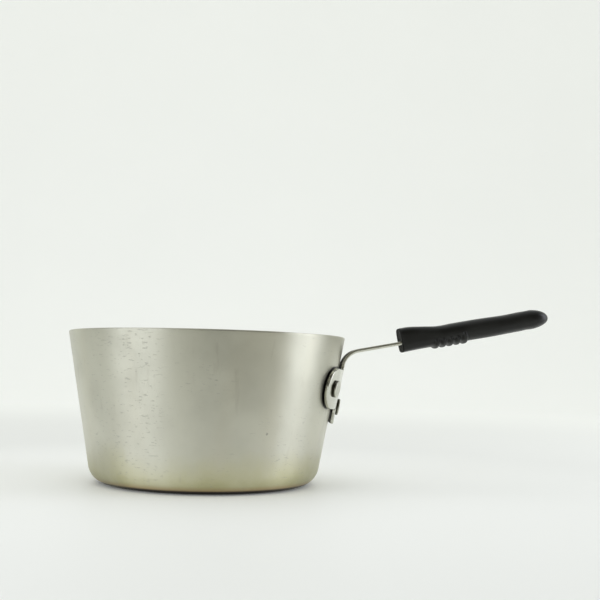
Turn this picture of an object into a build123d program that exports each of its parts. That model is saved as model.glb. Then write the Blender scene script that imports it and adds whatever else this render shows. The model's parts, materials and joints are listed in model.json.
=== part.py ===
from build123d import *
import os
from math import atan, cos, degrees, radians, sin, tan

# Tapered aluminium melting pot with a riveted steel handle and a slip-on silicone sleeve.
# Millimetres. Origin at the centre of the base's underside, +Z up, +X along the handle.
# "left" is the -Y side, as seen by a person who holds the handle.

# --- driving dimensions -------------------------------------------------------------------

RIM_RADIUS = 111.0          # outside, at the rim
PAN_HEIGHT = 118.5
FOOT_RADIUS = 89.4          # where the straight wall's outside would meet the table
WALL = 3.2
CORNER_RADIUS = 16.0        # outside, between base and wall
RIM_ROUND = 1.2

STEEL = 3.0                 # thickness of the bracket, strap and tang
STANDOFF = 1.3              # gap between the wall and the bracket
STRAP_WIDTH = 21.6
TAB_END_HEIGHT = 49.8
TAB_CORNER = 2.0
WING_HEIGHT = 78.4          # height of the wings' centres
WING_ANGLE = 19.6           # degrees round the pan from the handle's centreline
WING_RADIUS = 16.0
BEND_INNER_RADIUS = 14.0

HANDLE_RISE = 11.2          # degrees above level
GRIP_FACE_X = 156.8         # where the strap's centreline enters the grip
GRIP_FACE_Z = 115.4
TANG_LENGTH = 115.5         # from the grip's front face to the tang's end
TANG_CORNER = 9.0

SLOT_CLEARANCE = 0.3        # between the tang and the sleeve's slot, all round
GRIP_LENGTH = 124.3
HANG_HOLE_RADIUS = 4.5
HANG_HOLE_FROM_FACE = 105.0
RIB_COUNT = 5
RIB_FIRST = 28.2            # first rib's distance from the grip's front face
RIB_PITCH = 5.9
RIB_RADIUS = 2.3
RIB_WIDTH = 23.0
RIB_BOTTOM = -8.7

RIVET_HEAD_RADIUS = 6.6
RIVET_HEAD_HEIGHT = 2.9
RIVET_HEAD_ROUND = 0.7
RIVET_SHANK_RADIUS = 2.8
RIVET_SEAT = 0.25           # depth of the flat coined into the bracket under each head
INNER_HEAD_HEIGHT = 1.8
INNER_HEAD_ROUND = 1.0
LOWER_RIVET_HEIGHT = 63.5
SPACER_RADIUS = 6.0

# One row per station of the grip: distance from the front face, width, top, bottom, corner radius.
# Top and bottom are measured from the strap's centreline, square to it.
GRIP_STATIONS = [
    (0.0, 26.0, 12.3, -7.6, 5.0),
    (8.0, 26.0, 12.3, -7.4, 5.4),
    (20.0, 25.8, 10.7, -7.2, 6.0),
    (32.0, 25.6, 9.2, -7.1, 6.4),
    (58.0, 26.0, 9.2, -7.1, 6.8),
    (84.0, 26.2, 8.9, -7.0, 6.8),
    (96.0, 26.0, 8.8, -6.8, 6.6),
    (107.0, 25.8, 9.1, -6.7, 6.4),
    (114.0, 24.8, 8.5, -6.2, 6.0),
    (119.0, 21.4, 6.9, -4.7, 4.8),
    (122.4, 15.0, 4.1, -2.3, 2.6),
    (GRIP_LENGTH, 7.4, 1.6, -0.6, 0.9),
]

# --- worked out from them -----------------------------------------------------------------

LEAN = atan((RIM_RADIUS - FOOT_RADIUS) / PAN_HEIGHT)
LEAN_DEGREES = degrees(LEAN)
RISE = radians(HANDLE_RISE)
OUTER_FACE = STANDOFF + STEEL
BEND_RADIUS = BEND_INNER_RADIUS + STEEL / 2
# Profiles are turned from the side away from the handle, so no seam crosses the bracket.
BEHIND = Plane(origin=(0, 0, 0), x_dir=(-1, 0, 0), z_dir=(0, 1, 0))
RIVET_ANGLES = {"left": -WING_ANGLE, "right": WING_ANGLE, "lower": 0.0}
RIVET_HEIGHTS = {"left": WING_HEIGHT, "right": WING_HEIGHT, "lower": LOWER_RIVET_HEIGHT}


def cone_radius(height, offset=0.0):
    """Radius at a height of the wall's outer cone, moved outward by offset along its normal."""
    return FOOT_RADIUS + height * tan(LEAN) + offset / cos(LEAN)


def wall_plane(angle, height, offset=0.0):
    """Plane that touches the wall's outer cone, moved outward; its z axis is the wall's normal."""
    around = radians(angle)
    radius = cone_radius(height)
    normal = Vector(cos(LEAN) * cos(around), cos(LEAN) * sin(around), -sin(LEAN))
    foot = Vector(radius * cos(around), radius * sin(around), height)
    return Plane(origin=foot + normal * offset, x_dir=(-sin(around), cos(around), 0), z_dir=normal)


def grip_plane(along):
    """Plane square to the handle, at a distance from the grip's front face; its y axis is up."""
    x = GRIP_FACE_X + along * cos(RISE)
    z = GRIP_FACE_Z + along * sin(RISE)
    return Plane(origin=(x, 0, z), x_dir=(0, 1, 0), z_dir=(cos(RISE), 0, sin(RISE)))


def handle_top_plane(along, up=0.0):
    """Plane parallel to the strap's broad face, at a distance from the grip's front face."""
    face = grip_plane(along)
    up_normal = Vector(-sin(RISE), 0, cos(RISE))
    return Plane(origin=face.origin + up_normal * up, x_dir=(cos(RISE), 0, sin(RISE)), z_dir=up_normal)


def cone_ring(inside, outside, low, high):
    """Four corners of the section of a shell that follows the wall between two offsets."""
    return [
        (cone_radius(low, inside), low),
        (cone_radius(low, outside), low),
        (cone_radius(high, outside), high),
        (cone_radius(high, inside), high),
    ]


# --- pan ----------------------------------------------------------------------------------

with BuildPart() as pan_body:
    with BuildSketch(BEHIND) as pan_section:
        with BuildLine():
            Polyline(
                (0, 0),
                (FOOT_RADIUS, 0),
                (RIM_RADIUS, PAN_HEIGHT),
                (cone_radius(PAN_HEIGHT, -WALL), PAN_HEIGHT),
                (cone_radius(WALL, -WALL), WALL),
                (0, WALL),
                close=True,
            )
        make_face()
        outside_corner = pan_section.vertices().sort_by_distance((FOOT_RADIUS, 0, 0))[0]
        fillet(outside_corner, radius=CORNER_RADIUS)
        inside_corner = pan_section.vertices().sort_by_distance((cone_radius(WALL, -WALL), WALL, 0))[0]
        fillet(inside_corner, radius=CORNER_RADIUS - WALL)
        rim_corners = pan_section.vertices().sort_by(Axis.Y)[-2:]
        fillet(rim_corners, radius=RIM_ROUND)
    revolve(axis=Axis.Z)
    for side in RIVET_ANGLES:
        with Locations(wall_plane(RIVET_ANGLES[side], RIVET_HEIGHTS[side], STANDOFF)):
            Hole(radius=RIVET_SHANK_RADIUS, depth=STANDOFF + WALL + INNER_HEAD_HEIGHT)

pan_body.part.label = "pan_body"

# --- bracket, strap and tang: one stamping ------------------------------------------------

# The strap's centreline: up along the wall, round the bend, and on along the handle.
lean_direction = Vector(sin(LEAN), 0, cos(LEAN))
rise_direction = Vector(cos(RISE), 0, sin(RISE))
half_turn = radians(90.0 - LEAN_DEGREES - HANDLE_RISE) / 2
tab_end = wall_plane(0, TAB_END_HEIGHT, STANDOFF + STEEL / 2).origin
to_grip = grip_plane(0).origin - tab_end
tab_to_bend = to_grip.cross(rise_direction).Y / lean_direction.cross(rise_direction).Y
bend_corner = tab_end + lean_direction * tab_to_bend
bend_start = bend_corner - lean_direction * BEND_RADIUS * tan(half_turn)
bend_end = bend_corner + rise_direction * BEND_RADIUS * tan(half_turn)
tang_end = grip_plane(TANG_LENGTH).origin

# Everything below the bend is cut out of a shell that follows the wall.
with BuildPart() as wall_shell:
    with BuildSketch(BEHIND):
        with BuildLine():
            Polyline(*cone_ring(STANDOFF, OUTER_FACE, TAB_END_HEIGHT - STEEL, PAN_HEIGHT), close=True)
        make_face()
    revolve(axis=Axis.Z)

# The band between the wings lies lower than their centres, as the leaning wall curves away.
wing_drop = cone_radius(WING_HEIGHT) * (1 - cos(radians(WING_ANGLE))) * tan(LEAN)
band_width = 2 * cone_radius(WING_HEIGHT, OUTER_FACE) * sin(radians(WING_ANGLE))
upright_length = (bend_start - tab_end).length
with BuildPart() as plate_outline:
    for side in ("left", "right"):
        with BuildSketch(wall_plane(RIVET_ANGLES[side], WING_HEIGHT, -WALL)):
            Circle(WING_RADIUS)
        extrude(amount=WALL + 3 * OUTER_FACE)
    with BuildSketch(wall_plane(0, WING_HEIGHT - wing_drop, -2 * WALL)):
        Rectangle(band_width, 2 * WING_RADIUS)
    extrude(amount=2 * WALL + 3 * OUTER_FACE)
    with BuildSketch(wall_plane(0, TAB_END_HEIGHT, -WALL)) as upright_outline:
        with Locations((0, upright_length / 2)):
            Rectangle(STRAP_WIDTH, upright_length)
        tab_corners = upright_outline.vertices().group_by(Axis.Y)[0]
        fillet(tab_corners, radius=TAB_CORNER)
    extrude(amount=WALL + 3 * OUTER_FACE)

with BuildPart() as handle_bracket:
    add(wall_shell.part)
    add(plate_outline.part, mode=Mode.INTERSECT)
    bend_face = handle_bracket.faces().sort_by_distance(bend_start)[0]
    with BuildSketch(Plane(origin=bend_end, x_dir=(0, 1, 0), z_dir=rise_direction)) as strap_section:
        Rectangle(STRAP_WIDTH, STEEL)
    with BuildLine() as bend_line:
        TangentArc(bend_start, bend_end, tangent=lean_direction)
    sweep(sections=[bend_face, strap_section.sketch.face()], path=bend_line.wire(), multisection=True)
    extrude(amount=(tang_end - bend_end).length)
    upright_edges = handle_bracket.edges().filter_by(lambda edge: abs(edge.length - STEEL) < 0.01)
    tang_edges = upright_edges.sort_by(Axis.X)[-2:]
    fillet(tang_edges, radius=TANG_CORNER)
    with Locations(handle_top_plane(HANG_HOLE_FROM_FACE, STEEL)):
        Hole(radius=HANG_HOLE_RADIUS, depth=2 * STEEL)
    for side in RIVET_ANGLES:
        seat_plane = wall_plane(RIVET_ANGLES[side], RIVET_HEIGHTS[side], OUTER_FACE - RIVET_SEAT)
        with BuildSketch(seat_plane):
            Circle(RIVET_HEAD_RADIUS)
        extrude(amount=STEEL, mode=Mode.SUBTRACT)
        with Locations(seat_plane):
            Hole(radius=RIVET_SHANK_RADIUS, depth=2 * STEEL)

handle_bracket.part.label = "handle_bracket"

# --- grip ---------------------------------------------------------------------------------

with BuildPart() as grip_sleeve:
    for along, width, top, bottom, corner in GRIP_STATIONS:
        with BuildSketch(grip_plane(along)):
            with Locations((0, (top + bottom) / 2)):
                RectangleRounded(width, top - bottom, corner)
    loft()
    for rib in range(RIB_COUNT):
        face = grip_plane(RIB_FIRST + rib * RIB_PITCH)
        rib_middle = face.origin + face.y_dir * (RIB_BOTTOM + RIB_RADIUS)
        with Locations(Plane(origin=rib_middle, x_dir=face.z_dir, z_dir=(0, 1, 0))):
            Cylinder(RIB_RADIUS, RIB_WIDTH)
    with BuildSketch(handle_top_plane(0, -STEEL / 2 - SLOT_CLEARANCE)) as slot_outline:
        slot_length = TANG_LENGTH + SLOT_CLEARANCE
        with Locations((slot_length / 2, 0)):
            Rectangle(slot_length, STRAP_WIDTH + 2 * SLOT_CLEARANCE)
        slot_end_corners = slot_outline.vertices().group_by(Axis.X)[-1]
        fillet(slot_end_corners, radius=TANG_CORNER + SLOT_CLEARANCE)
    extrude(amount=STEEL + 2 * SLOT_CLEARANCE, mode=Mode.SUBTRACT)
    with Locations(handle_top_plane(HANG_HOLE_FROM_FACE, GRIP_LENGTH / 4)):
        Hole(radius=HANG_HOLE_RADIUS, depth=GRIP_LENGTH / 2)

grip_sleeve.part.label = "grip_sleeve"

# --- rivets and the collars between the wall and the bracket -------------------------------


def make_rivet(side):
    """Solid rivet: low head on the inner wall, shank, and flat head on the bracket's outside."""
    angle = RIVET_ANGLES[side]
    height = RIVET_HEIGHTS[side]
    seat = OUTER_FACE - RIVET_SEAT
    inner_head_base = -WALL - INNER_HEAD_HEIGHT
    with BuildPart() as rivet:
        with BuildSketch(wall_plane(angle, height, inner_head_base)):
            Circle(RIVET_HEAD_RADIUS)
        extrude(amount=INNER_HEAD_HEIGHT + WALL / 2)
        fillet(rivet.edges().sort_by_distance((0, 0, height))[0], radius=INNER_HEAD_ROUND)
        with BuildSketch(BEHIND):
            with BuildLine():
                Polyline(*cone_ring(-WALL, OUTER_FACE, 0, PAN_HEIGHT), close=True)
            make_face()
        revolve(axis=Axis.Z, mode=Mode.SUBTRACT)
        with BuildSketch(wall_plane(angle, height, inner_head_base + INNER_HEAD_HEIGHT / 2)):
            Circle(RIVET_SHANK_RADIUS)
        extrude(amount=seat - inner_head_base - INNER_HEAD_HEIGHT / 2)
        with BuildSketch(wall_plane(angle, height, seat)):
            Circle(RIVET_HEAD_RADIUS)
        extrude(amount=RIVET_HEAD_HEIGHT)
        head_edge = rivet.edges().filter_by(GeomType.CIRCLE).sort_by_distance((2 * RIM_RADIUS, 0, height))[0]
        fillet(head_edge, radius=RIVET_HEAD_ROUND)
    return rivet.part


def make_spacer(side):
    """Collar round a rivet that holds the bracket off the wall."""
    plane = wall_plane(RIVET_ANGLES[side], RIVET_HEIGHTS[side], -WALL)
    with BuildPart() as spacer:
        with BuildSketch(plane):
            Circle(SPACER_RADIUS)
            Circle(RIVET_SHANK_RADIUS, mode=Mode.SUBTRACT)
        extrude(amount=WALL + OUTER_FACE)
        with BuildSketch(BEHIND):
            with BuildLine():
                Polyline(*cone_ring(0, STANDOFF, 0, PAN_HEIGHT), close=True)
            make_face()
        revolve(axis=Axis.Z, mode=Mode.INTERSECT)
    return spacer.part


# --- write --------------------------------------------------------------------------------

os.makedirs("parts", exist_ok=True)
export_step(pan_body.part, "parts/pan_body.step")
export_step(handle_bracket.part, "parts/handle_bracket.step")
export_step(grip_sleeve.part, "parts/grip_sleeve.step")
for side in RIVET_ANGLES:
    rivet_part = make_rivet(side)
    rivet_part.label = "rivet_" + side
    export_step(rivet_part, "parts/rivet_" + side + ".step")
    spacer_part = make_spacer(side)
    spacer_part.label = "spacer_" + side
    export_step(spacer_part, "parts/spacer_" + side + ".step")
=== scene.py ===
"""Tapered melting pot with a riveted steel handle and a slip-on silicone grip: its finished
meshes, its finishes and a plain studio stage, built around the packed frame."""

import json
from math import acos, atan, cos, pi, radians, sin, tan

import bpy
import numpy as np
from mathutils import Matrix, Vector
from mathutils.geometry import delaunay_2d_cdt


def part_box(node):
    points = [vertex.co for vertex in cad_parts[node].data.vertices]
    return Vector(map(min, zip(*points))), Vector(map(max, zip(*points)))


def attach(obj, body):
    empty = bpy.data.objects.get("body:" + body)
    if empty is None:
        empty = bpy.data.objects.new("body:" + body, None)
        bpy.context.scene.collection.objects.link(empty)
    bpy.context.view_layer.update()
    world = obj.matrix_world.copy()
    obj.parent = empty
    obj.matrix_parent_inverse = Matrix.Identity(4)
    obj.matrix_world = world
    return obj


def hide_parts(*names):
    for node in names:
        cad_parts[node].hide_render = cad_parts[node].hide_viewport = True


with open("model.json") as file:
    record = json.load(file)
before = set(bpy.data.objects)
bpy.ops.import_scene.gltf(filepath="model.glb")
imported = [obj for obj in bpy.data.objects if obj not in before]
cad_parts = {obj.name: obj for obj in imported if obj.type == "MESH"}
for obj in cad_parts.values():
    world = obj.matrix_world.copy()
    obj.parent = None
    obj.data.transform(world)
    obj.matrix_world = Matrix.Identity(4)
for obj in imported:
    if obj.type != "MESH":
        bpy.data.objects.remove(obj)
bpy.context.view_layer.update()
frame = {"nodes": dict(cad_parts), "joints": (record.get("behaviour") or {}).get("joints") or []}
PAN_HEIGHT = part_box("pan_body")[1].z
GRIP_SLIDE = frame["joints"][0]

bl_info = {
    "name": "Melting pot",
    "version": (1, 0, 0),
    "blender": (4, 5, 0),
    "location": "View3D > Sidebar > Melting pot",
    "description": "Builds a tapered melting pot with a riveted handle, and its studio stage",
    "category": "Add Mesh",
}

MM = 0.001
# Middle of the grip's front face, on the strap's middle line.
GRIP_FACE = Vector((0.1568, 0, 0.1154))
# Direction from the pan's axis in which the wall has most of its dents.
KNOCKED_SIDE = (-0.54, -0.84, 0.0)
# Multiplies a place to leave only its level part.
LEVEL_PART = (1.0, 1.0, 0.0)
# Colour of the two side lights, a little blue.
COOL_LIGHT = (0.96, 0.985, 1.11)
# Layout of the nodes in the shader editor.
NODES_IN_COLUMN = 6
NODE_SPACING = 260

# --- settings a user would change ----------------------------------------------------------


def amount_property(name, description, default, **settings):
    """A number that isn't negative."""
    return bpy.props.FloatProperty(name=name, description=description, default=default, min=0.0, **settings)


def length_property(name, description, default):
    """A length in metres, shown in the scene's units."""
    return amount_property(name, description, default, unit="LENGTH")


def colour_property(name, description, default):
    """A linear colour without alpha."""
    return bpy.props.FloatVectorProperty(
        name=name, description=description, default=default, size=3, min=0.0, max=1.0, subtype="COLOR"
    )


class PanSizes(bpy.types.PropertyGroup):
    """Sizes of the spun shell."""

    height: length_property("Height", "From the table to the top of the rim", PAN_HEIGHT)
    rim_radius: length_property("Rim radius", "Outside radius of the wall at the rim", 0.111)
    foot_radius: length_property("Foot radius", "Where the wall's outside would meet the table", 0.0894)
    wall: length_property("Wall", "Thickness of wall and base", 0.0032)
    corner: length_property("Corner", "Outside radius between base and wall", 0.016)
    rim_round: length_property("Rim rounding", "Rounding of the rim's two edges", 0.0012)
    ripple: length_property("Ripple", "Largest departure of the wall from a true cone", 0.00005)


class HandleSizes(bpy.types.PropertyGroup):
    """Sizes of the bracket, strap, tang and rivets."""

    steel: length_property("Steel", "Thickness of the stamping", 0.003)
    standoff: length_property("Standoff", "Gap between the wall and the bracket", 0.0013)
    strap_width: length_property("Strap width", "Width of tab, strap and tang", 0.0216)
    tab_height: length_property("Tab height", "Height of the tab's lower end", 0.0498)
    tab_corner: length_property("Tab corner", "Corner radius of the tab's lower end", 0.002)
    wing_height: length_property("Wing height", "Height of the wings' centres", 0.0784)
    wing_radius: length_property("Wing radius", "Radius of each wing's end", 0.016)
    wing_angle: bpy.props.FloatProperty(
        name="Wing angle",
        description="Turn round the pan from the handle's centreline to a wing's centre",
        default=radians(19.6),
        subtype="ANGLE",
    )
    inside_corner: length_property("Inside corner", "Radius where strap and tab meet the wings", 0.002)
    edge_round: length_property("Edge rounding", "Rounding of the stamping's edges", 0.0008)
    bend_radius: length_property("Bend radius", "Radius of the strap's bend, at its middle", 0.0155)
    tang_length: length_property("Tang length", "From the grip's front face to the tang's end", 0.1155)
    tang_corner: length_property("Tang corner", "Corner radius of the tang's end", 0.009)
    lower_rivet: length_property("Lower rivet", "Height of the rivet on the centreline", 0.0635)
    head_radius: length_property("Rivet head", "Radius of the rivets' heads", 0.0066)
    head_height: length_property("Rivet head height", "Height of the outer heads", 0.0029)
    inner_head_height: length_property("Inner head height", "Height of the heads on the inner wall", 0.0018)
    shank_radius: length_property("Rivet shank", "Radius of the rivets' shanks", 0.0028)


class GripSizes(bpy.types.PropertyGroup):
    """Sizes of the sleeve."""

    length: length_property("Length", "From the front face to the nose", 0.1243)
    slot_gap: length_property("Slot gap", "Clearance round the tang", 0.0003)
    hole_radius: length_property("Hanging hole", "Radius of the hanging hole", 0.0045)
    hole_along: length_property("Hole place", "From the front face to the hanging hole", 0.105)
    hole_round: length_property("Hole rounding", "Rounding of the hole's edges", 0.0012)
    face_round: length_property("Front rounding", "Rounding of the front face's edge", 0.0009)
    rib_first: length_property("First rib", "From the front face to the first rib", 0.0282)
    rib_pitch: length_property("Rib pitch", "Distance between ribs", 0.0059)
    rib_half: length_property("Rib half width", "Half of a rib's width along the grip", 0.0023)
    rib_height: length_property("Rib height", "How far the ribs stand proud", 0.0019)
    rib_reach: length_property("Rib reach", "How far the ribs' round ends reach up the sides", 0.0036)
    rib_count: bpy.props.IntProperty(
        name="Ribs", description="Number of ribs under the fingers", default=5, min=0
    )


class Finishes(bpy.types.PropertyGroup):
    """Colours of the finishes."""

    aluminium: colour_property("Aluminium", "Spun aluminium, outside", (0.61, 0.603, 0.505))
    inside: colour_property("Inside", "Aluminium dulled by use, inside", (0.64, 0.632, 0.565))
    heat_tint: colour_property("Heat tint", "Straw film near the foot", (0.57, 0.545, 0.322))
    plating: colour_property("Plating", "Dulled plating of the bracket", (0.645, 0.645, 0.565))
    rivet: colour_property("Rivet", "Aluminium of the rivets", (0.60, 0.60, 0.52))
    spacer: colour_property("Spacer", "Dull steel of the collars", (0.22, 0.215, 0.20))
    silicone: colour_property("Silicone", "Black moulded silicone", (0.0042, 0.0044, 0.0034))


class StageSettings(bpy.types.PropertyGroup):
    """Floor, lights and camera."""

    floor: colour_property("Floor", "Pale table", (0.80, 0.80, 0.765))
    backdrop: colour_property("Backdrop", "Pale surroundings", (0.84, 0.865, 0.84))
    surroundings: amount_property("Surroundings", "Brightness of the studio that lights the pot", 0.72)
    soft_light: amount_property("Soft light", "Brightness of the studio where it isn't mirrored", 1.19)
    top_shade: amount_property("Top shade", "Brightness overhead against the rest of the studio", 0.55)
    front_shade: amount_property("Front shade", "Brightness in front against the rest of the studio", 0.225)
    back_glow: amount_property("Back glow", "Light given off by the sweep and the table far away", 0.21)
    near_glow: amount_property("Near glow", "Light given off by the table round the pot", 0.10)
    front_glow: amount_property("Front glow", "Light given off by the table's far front", 0.24)
    left_light: amount_property("Left light", "Power of the large light on the left", 5.1, unit="POWER")
    right_light: amount_property("Right light", "Power of the narrow light on the right", 5.0, unit="POWER")
    top_light: amount_property("Top light", "Power of the light overhead", 3.0, unit="POWER")


# --- meshes --------------------------------------------------------------------------------


def arc(centre, radius, start, end, count):
    """Points of a circular arc in a plane, from one angle to another, both ends included."""
    turn = np.linspace(start, end, count)
    return np.stack([centre[0] + radius * np.cos(turn), centre[1] + radius * np.sin(turn)], axis=1)


def smooth_curve(stations, along):
    """Value at each place along: a cubic through (place, value) stations, whose slope at each
    station is that of the line between its neighbours."""
    places, values = np.array(stations, float).T
    slopes = np.gradient(values, places)
    index = np.clip(np.searchsorted(places, along) - 1, 0, len(places) - 2)
    span = places[index + 1] - places[index]
    t = np.clip((along - places[index]) / span, 0.0, 1.0)
    return (
        (2 * t**3 - 3 * t**2 + 1) * values[index]
        + (t**3 - 2 * t**2 + t) * span * slopes[index]
        + (3 * t**2 - 2 * t**3) * values[index + 1]
        + (t**3 - t**2) * span * slopes[index + 1]
    )


def smooth_step(value):
    """Rises from 0 to 1 with level ends: 3t^2 - 2t^3, with t held between 0 and 1."""
    t = np.clip(value, 0.0, 1.0)
    return t * t * (3 - 2 * t)


def grid_quads(rows, columns, first=0, closed=False):
    """Quads between neighbouring rows of a grid of vertices, which is numbered row by row from
    first. In a closed grid the last column joins the first."""
    count = columns if closed else columns - 1
    row, column = np.meshgrid(np.arange(rows - 1), np.arange(count), indexing="ij")
    following = (column + 1) % columns
    corners = [row * columns + column, row * columns + following]
    corners += [(row + 1) * columns + following, (row + 1) * columns + column]
    return first + np.stack([corner.ravel() for corner in corners], axis=1)


def fan(ring, pole):
    """Triangles from a closed ring of vertex numbers to one pole."""
    return np.stack([ring, np.roll(ring, -1), np.full(len(ring), pole)], axis=1)


def bridge(first_ring, second_ring):
    """Quads between two closed rings of the same number of vertices."""
    return np.stack([first_ring, np.roll(first_ring, -1), np.roll(second_ring, -1), second_ring], axis=1)


def turned_skin(radius, level, poles):
    """Surface of revolution about the third axis: rings whose radius and level are given by row
    and column, and one vertex on the axis at each end, at the levels in poles. Gives its points,
    the quads between the rings and the triangles at the ends."""
    rows, columns = radius.shape
    turn = np.arange(columns) * (2 * pi / columns)
    rings = np.stack([radius * np.cos(turn), radius * np.sin(turn), level], axis=-1).reshape(-1, 3)
    points = np.concatenate([rings, [(0, 0, pole) for pole in poles]])
    last = (rows - 1) * columns
    first_end = fan(np.arange(columns), len(points) - 2)[:, ::-1]
    last_end = fan(np.arange(last, last + columns), len(points) - 1)
    return points, grid_quads(rows, columns, closed=True), np.concatenate([first_end, last_end])


def new_piece(name, points, quads=(), triangles=(), faces_of=None):
    """Object at the origin whose mesh has these points, quads and triangles, shaded smooth.
    faces_of gives the material number of each quad, then of each triangle."""
    mesh = bpy.data.meshes.new(name)
    quads = np.asarray(quads, np.int32).reshape(-1, 4)
    triangles = np.asarray(triangles, np.int32).reshape(-1, 3)
    corners = np.concatenate([quads.ravel(), triangles.ravel()])
    sizes = np.concatenate([np.full(len(quads), 4), np.full(len(triangles), 3)]).astype(np.int32)
    mesh.vertices.add(len(points))
    mesh.vertices.foreach_set("co", np.asarray(points, np.float32).ravel())
    mesh.loops.add(len(corners))
    mesh.loops.foreach_set("vertex_index", corners.astype(np.int32))
    mesh.polygons.add(len(sizes))
    mesh.polygons.foreach_set("loop_start", np.concatenate([[0], np.cumsum(sizes)[:-1]]).astype(np.int32))
    mesh.polygons.foreach_set("loop_total", sizes)
    mesh.polygons.foreach_set("use_smooth", np.ones(len(sizes), bool))
    if faces_of is not None:
        mesh.polygons.foreach_set("material_index", np.asarray(faces_of, np.int32))
    mesh.update(calc_edges=True)
    mesh.validate()
    piece = bpy.data.objects.new(name, mesh)
    bpy.context.scene.collection.objects.link(piece)
    return piece


def fill_loops(loops, inner_points):
    """Triangles that fill the area inside the first loop and outside the others, through the
    inner points too. Points are numbered loop by loop, then the inner points."""
    points = np.concatenate([*loops, inner_points])
    edges, first = [], 0
    for loop in loops:
        numbers = np.arange(first, first + len(loop))
        edges.append(np.stack([numbers, np.roll(numbers, -1)], axis=1))
        first += len(loop)
    result = delaunay_2d_cdt(
        [Vector(point) for point in points], np.concatenate(edges).tolist(), [], 1, 1e-9
    )
    source = np.array([originals[0] for originals in result[3]])
    triangles = source[np.array(result[2])]
    middle = points[triangles].mean(axis=1)
    keep = np.ones(len(triangles), bool)
    for loop in loops[1:]:
        keep &= ~inside(loop, middle)
    triangles = triangles[keep]
    a, b, c = points[triangles].transpose(1, 0, 2)
    turned = (b - a)[:, 0] * (c - a)[:, 1] - (b - a)[:, 1] * (c - a)[:, 0] < 0
    triangles[turned] = triangles[turned][:, ::-1]
    return triangles


def inside(loop, points):
    """True for each point inside a closed loop, by counting the edges that a level ray crosses."""
    start, end = loop, np.roll(loop, -1, axis=0)
    x, y = points[:, :1], points[:, 1:]
    spans = (start[:, 1] > y) != (end[:, 1] > y)
    rise = np.where(end[:, 1] == start[:, 1], 1.0, end[:, 1] - start[:, 1])
    crossing = start[:, 0] + (y - start[:, 1]) / rise * (end[:, 0] - start[:, 0])
    return (spans & (x < crossing)).sum(axis=1) % 2 == 1


def inner_grid(loops, spacing, margin):
    """Points of a square grid that lie inside the first loop and outside the others, each at
    least a margin from every loop."""
    low, high = loops[0].min(axis=0), loops[0].max(axis=0)
    columns = np.arange(low[0] + spacing / 2, high[0], spacing)
    rows = np.arange(low[1] + spacing / 2, high[1], spacing)
    points = np.stack(np.meshgrid(columns, rows), axis=-1).reshape(-1, 2)
    keep = inside(loops[0], points)
    for loop in loops[1:]:
        keep &= ~inside(loop, points)
    points = points[keep]
    edge = np.concatenate(loops)
    nearest = np.array([np.hypot(*(edge - point).T).min() for point in points])
    return points[nearest > margin]


def round_corners(corners, radii, spacing):
    """Closed loop through corners, each replaced by an arc of its radius, with points no further
    apart than spacing. Each arc touches both of its sides."""
    corners = np.array(corners, float)
    pieces = []
    for number, (corner, radius) in enumerate(zip(corners, radii)):
        before = corners[number - 1] - corner
        after = corners[(number + 1) % len(corners)] - corner
        before, after = before / np.hypot(*before), after / np.hypot(*after)
        half = acos(float(np.clip(before @ after, -1, 1))) / 2
        toward_middle = (before + after) / np.hypot(*(before + after))
        centre = corner + toward_middle * radius / sin(half)
        start = corner + before * radius / tan(half) - centre
        end = corner + after * radius / tan(half) - centre
        first = np.arctan2(start[1], start[0])
        turn = (np.arctan2(end[1], end[0]) - first + pi) % (2 * pi) - pi
        count = max(4, int(abs(turn) * radius / spacing) + 2)
        pieces.append(arc(centre, radius, first, first + turn, count))
    return respaced(np.concatenate(pieces), spacing)


def respaced(loop, spacing):
    """The same closed loop with each side cut into equal steps no longer than spacing."""
    result = []
    for start, end in zip(loop, np.roll(loop, -1, axis=0)):
        steps = max(1, int(np.ceil(np.hypot(*(end - start)) / spacing)))
        result.append(start + (end - start) * (np.arange(steps) / steps)[:, None])
    return np.concatenate(result)


def loop_normals(loop):
    """Unit normals of a counter-clockwise closed loop, pointing out of it, at its points."""
    along = np.roll(loop, -1, axis=0) - loop
    along /= np.hypot(*along.T)[:, None]
    both = along + np.roll(along, 1, axis=0)
    both /= np.hypot(*both.T)[:, None]
    return np.stack([both[:, 1], -both[:, 0]], axis=1)


# --- pan -----------------------------------------------------------------------------------


def pan_profile(sizes):
    """Radius and height along the shell's section, from the base's centre out, up the outside,
    over the rim and down to the inside's centre, and the number of rows on the outside."""
    lean = atan((sizes.rim_radius - sizes.foot_radius) / sizes.height)
    corner, wall, edge = sizes.corner, sizes.wall, sizes.rim_round
    centre = (sizes.foot_radius + corner * tan(lean) - corner / cos(lean), corner)
    rim_z = sizes.height - edge
    wall_at_rim = sizes.foot_radius + rim_z * tan(lean)
    outer_rim = (wall_at_rim - edge / cos(lean), rim_z)
    inner_rim = (wall_at_rim + (edge - wall) / cos(lean), rim_z)
    corner_rows, wall_rows, rim_rows, floor_rows = 16, 44, 7, 12
    outer_corner = arc(centre, corner, -pi / 2, -lean, corner_rows)
    outer_edge = arc(outer_rim, edge, -lean, pi / 2, rim_rows)
    inner_edge = arc(inner_rim, edge, pi / 2, pi - lean, rim_rows)
    inner_corner = arc(centre, corner - wall, -lean, -pi / 2, corner_rows)
    under = np.linspace((0.0, 0.0), outer_corner[0], floor_rows)[:-1]
    outside = np.linspace(outer_corner[-1], outer_edge[0], wall_rows)[1:-1]
    inside_wall = np.linspace(inner_edge[-1], inner_corner[0], wall_rows)[1:-1]
    floor = np.linspace(inner_corner[-1], (0.0, wall), floor_rows)[1:]
    outer_part = np.concatenate([under, outer_corner, outside, outer_edge])
    profile = np.concatenate([outer_part, inner_edge, inside_wall, inner_corner, floor])
    return profile, len(outer_part)


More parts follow.
